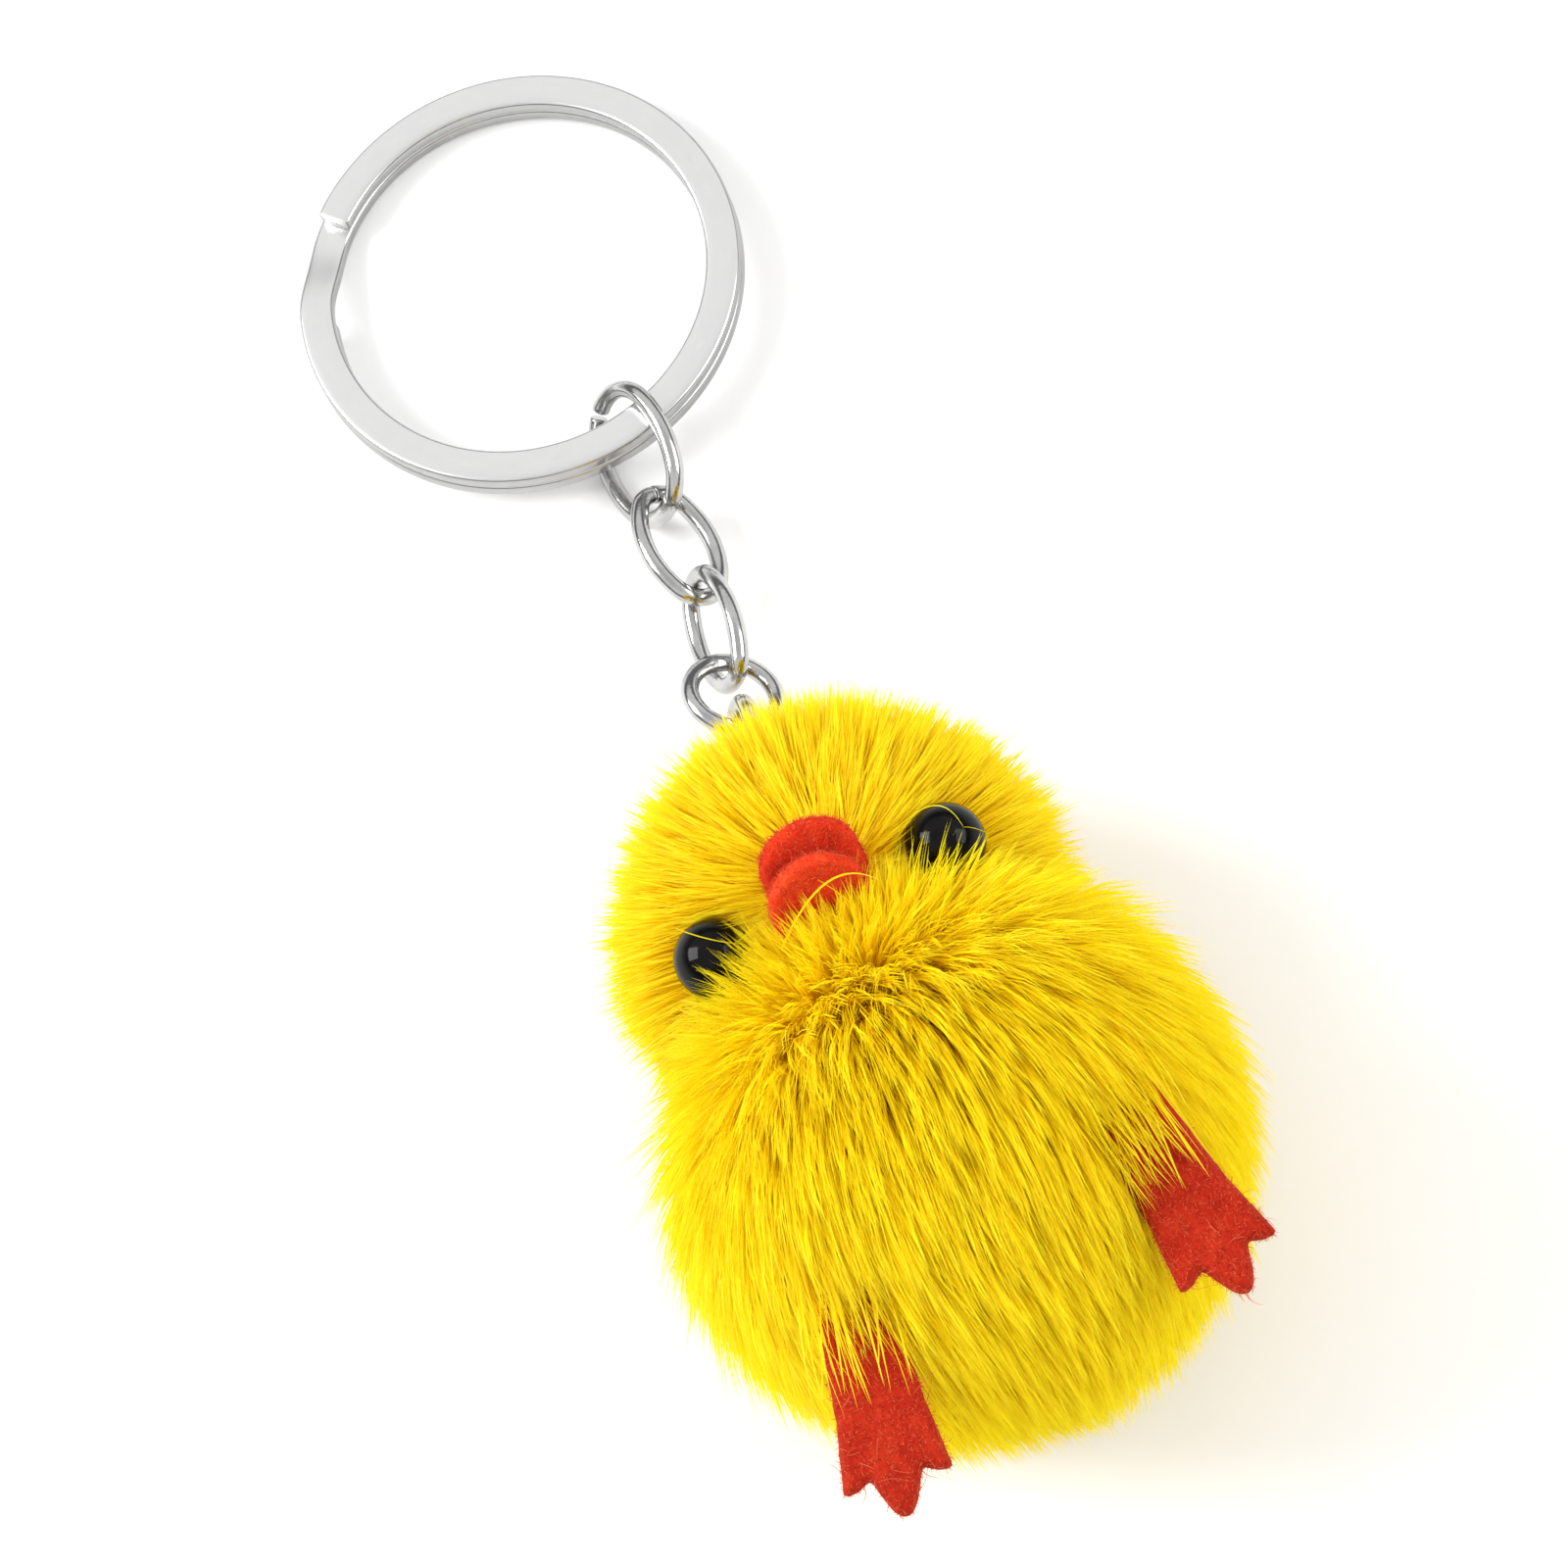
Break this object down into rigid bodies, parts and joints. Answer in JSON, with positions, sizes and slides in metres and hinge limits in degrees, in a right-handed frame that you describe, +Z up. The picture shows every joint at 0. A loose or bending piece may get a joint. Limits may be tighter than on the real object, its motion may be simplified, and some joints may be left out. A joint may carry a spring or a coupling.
{
  "type": "plush keychain",
  "caption": "Small yellow fur chick charm with bead eyes, felt beak and felt feet, on a short oval-link chain with a flat split ring for keys.",
  "frame": {"origin": "bottom centre of the whole keychain's bounding box, on the floor it lies on", "axes": "+Z up from the floor, the way the chick's face looks as it lies on its back; +Y from the feet along the chick and its chain to the split ring; +X to the right of the chick seen from above with the ring away"},
  "size_m": [0.0378, 0.1111, 0.0371],
  "materials": {
    "bright_nickel": "bright plated",
    "steel_zinc": "zinc plated",
    "yellow_fur": "long pile fur",
    "white_fibre": "loose fibre filling",
    "black_bead": "polished",
    "white_nylon": "matt",
    "red_felt": "felt",
    "orange_felt": "felt",
    "yellow_thread": "spun thread"
  },
  "bodies": {
    "plush_body": {"body_cover": "yellow_fur", "body_stuffing": "white_fibre", "body_gather_thread": "yellow_thread"},
    "plush_head": {"head_cover": "yellow_fur", "head_stuffing": "white_fibre", "left_eye": "black_bead", "right_eye": "black_bead", "eye_washers": "white_nylon", "beak_upper": "red_felt", "beak_lower": "orange_felt", "head_gather_thread": "yellow_thread", "eye_pin": "bright_nickel", "pin_washer": "steel_zinc"},
    "foot_left": {"left_foot": "red_felt"},
    "foot_right": {"right_foot": "red_felt"},
    "jump": {"jump_ring": "bright_nickel"},
    "link_3": {"chain_link_3": "bright_nickel"},
    "link_2": {"chain_link_2": "bright_nickel"},
    "link_1": {"chain_link_1": "bright_nickel"},
    "ring": {"split_ring": "bright_nickel"}
  },
  "joints": [
    {"name": "neck_nod", "type": "hinge", "parent": "plush_body", "child": "plush_head", "pos_m": [0, -0.0208, 0.0155], "axis": [1, 0, 0], "range_deg": [-6, 6], "stiffness_Nm_per_rad": 0.005},
    {"name": "left_foot_flex", "type": "hinge", "parent": "plush_body", "child": "foot_left", "pos_m": [-0.0087, -0.0373, 0.0278], "axis": [-0.9799, 0.1994, 0], "range_deg": [-12, 12], "stiffness_Nm_per_rad": 0.0001},
    {"name": "right_foot_flex", "type": "hinge", "parent": "plush_body", "child": "foot_right", "pos_m": [0.0099, -0.0345, 0.0289], "axis": [-0.9936, -0.1132, 0], "range_deg": [-12, 12], "stiffness_Nm_per_rad": 0.0001},
    {"name": "jump_ring_swing", "type": "hinge", "parent": "plush_head", "child": "jump", "pos_m": [0, 0.00425, 0.00675], "axis": [0.4997, 0.1922, 0.8446], "range_deg": [-40, 40]},
    {"name": "link_3_swing", "type": "hinge", "parent": "jump", "child": "link_3", "pos_m": [0.001, 0.00826, 0.00525], "axis": [-0.7985, 0.1783, 0.5749], "range_deg": [-40, 40]},
    {"name": "link_2_swing", "type": "hinge", "parent": "link_3", "child": "link_2", "pos_m": [0.00148, 0.01509, 0.00379], "axis": [0.6177, 0.0472, 0.785], "range_deg": [-40, 40]},
    {"name": "link_1_swing", "type": "hinge", "parent": "link_2", "child": "link_1", "pos_m": [0.00172, 0.02206, 0.00318], "axis": [-0.7431, 0, 0.6691], "range_deg": [-40, 40]},
    {"name": "split_ring_swing", "type": "hinge", "parent": "link_1", "child": "ring", "pos_m": [0.00172, 0.02684, 0.00314], "axis": [0.9922, 0.124, -0.0087], "range_deg": [-60, 60]}
  ]
}
